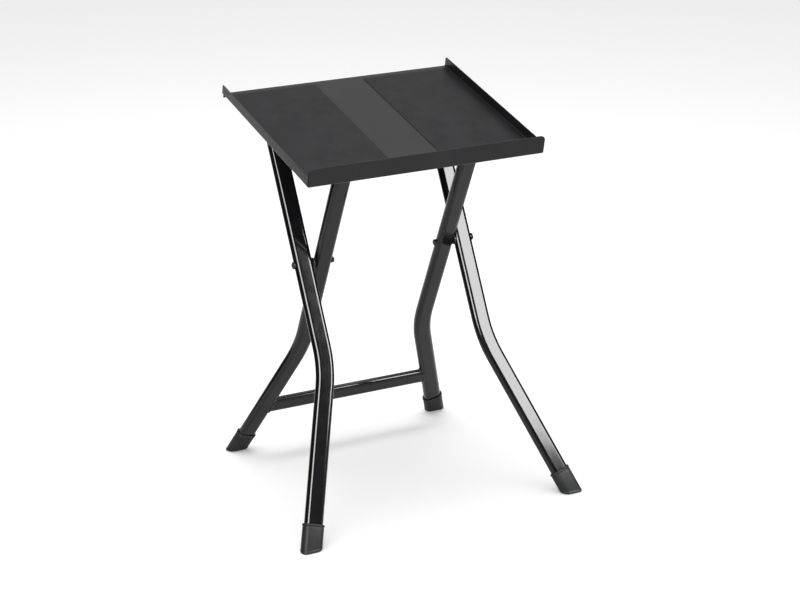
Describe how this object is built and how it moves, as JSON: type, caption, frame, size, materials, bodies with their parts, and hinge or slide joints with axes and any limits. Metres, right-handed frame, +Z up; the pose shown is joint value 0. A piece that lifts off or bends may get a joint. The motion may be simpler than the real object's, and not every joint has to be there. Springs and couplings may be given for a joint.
{
  "type": "folding tray table",
  "caption": "Folding stand: a tilted sheet-metal tray with side lips and a front wall on scissored flat-oval tube frames with rubber feet.",
  "frame": {"origin": "on the floor, under the middle of the stand's outline", "axes": "+X to the user's right, +Y to the back, +Z up; the tray slopes down to the front, -Y"},
  "size_m": [0.5248, 0.4397, 0.674],
  "materials": {
    "gloss_paint": "gloss black enamel",
    "satin_paint": "satin black powder coat",
    "mat_rubber": "matt, finely pebbled",
    "boot_rubber": "matt moulded rubber",
    "black_steel": "black zinc plate",
    "black_nylon": "moulded nylon",
    "plug_plastic": "moulded plastic"
  },
  "bodies": {
    "outer_frame": {"outer_leg_left": "gloss_paint", "outer_leg_right": "gloss_paint", "outer_top_rail": "gloss_paint", "outer_rail_plug_left": "plug_plastic", "outer_rail_plug_right": "plug_plastic", "front_foot_left": "boot_rubber", "front_foot_right": "boot_rubber", "outer_sleeve_left": "gloss_paint", "outer_sleeve_right": "gloss_paint", "pivot_bolt_left": "black_steel", "pivot_bolt_right": "black_steel", "pivot_nut_left": "black_steel", "pivot_nut_right": "black_steel", "pivot_spacer_left": "black_nylon", "pivot_spacer_right": "black_nylon"},
    "inner_frame": {"inner_leg_left": "gloss_paint", "inner_leg_right": "gloss_paint", "inner_top_rail": "gloss_paint", "inner_rail_plug_left": "plug_plastic", "inner_rail_plug_right": "plug_plastic", "inner_cross_bar": "gloss_paint", "rear_foot_left": "boot_rubber", "rear_foot_right": "boot_rubber", "inner_sleeve_left": "gloss_paint", "inner_sleeve_right": "gloss_paint"},
    "tray": {"tray_pan": "satin_paint", "tray_mat_left": "mat_rubber", "tray_mat_right": "mat_rubber", "hinge_block_left": "black_nylon", "hinge_block_right": "black_nylon", "hinge_cap_left": "black_nylon", "hinge_cap_right": "black_nylon", "hinge_screws": "black_steel", "hinge_nuts": "black_steel", "tray_saddle_left": "black_nylon", "tray_saddle_right": "black_nylon", "saddle_screws": "black_steel"}
  },
  "joints": [
    {"name": "leg_fold", "type": "hinge", "parent": "outer_frame", "child": "inner_frame", "pos_m": [0, 0.0158, 0.4036], "axis": [-1, 0, 0], "range_deg": [0, 54.8]},
    {"name": "tray_lift", "type": "hinge", "parent": "outer_frame", "child": "tray", "pos_m": [0, 0.14003, 0.62596], "axis": [-1, 0, 0], "range_deg": [0, 130]}
  ]
}
